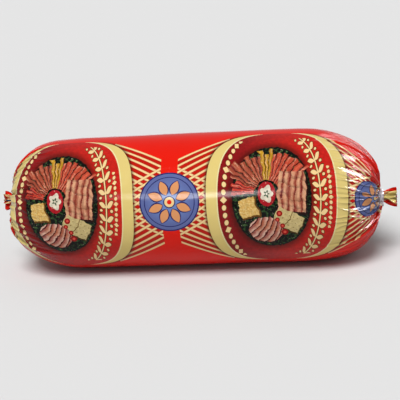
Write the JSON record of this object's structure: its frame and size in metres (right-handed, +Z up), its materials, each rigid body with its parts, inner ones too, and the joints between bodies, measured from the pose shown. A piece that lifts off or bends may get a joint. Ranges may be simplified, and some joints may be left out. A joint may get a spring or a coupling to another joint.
{
  "type": "cured sausage",
  "caption": "Ham sausage log stuffed in a glossy printed film casing, gathered at both ends and closed with aluminium clips; lies on its flattened underside.",
  "frame": {"origin": "on the surface it lies on, under the middle of its overall length and width", "axes": "+X along the log towards the end with the longer tail, +Y away from the printed front, +Z up"},
  "size_m": [0.3, 0.102, 0.099],
  "materials": {
    "printed_film": "glossy printed plastic film drawn tight over ham",
    "clip_metal": "satin pressed wire"
  },
  "bodies": {
    "root": {"stuffed_casing": "printed_film", "clip_left": "clip_metal", "clip_right": "clip_metal"}
  },
  "joints": []
}
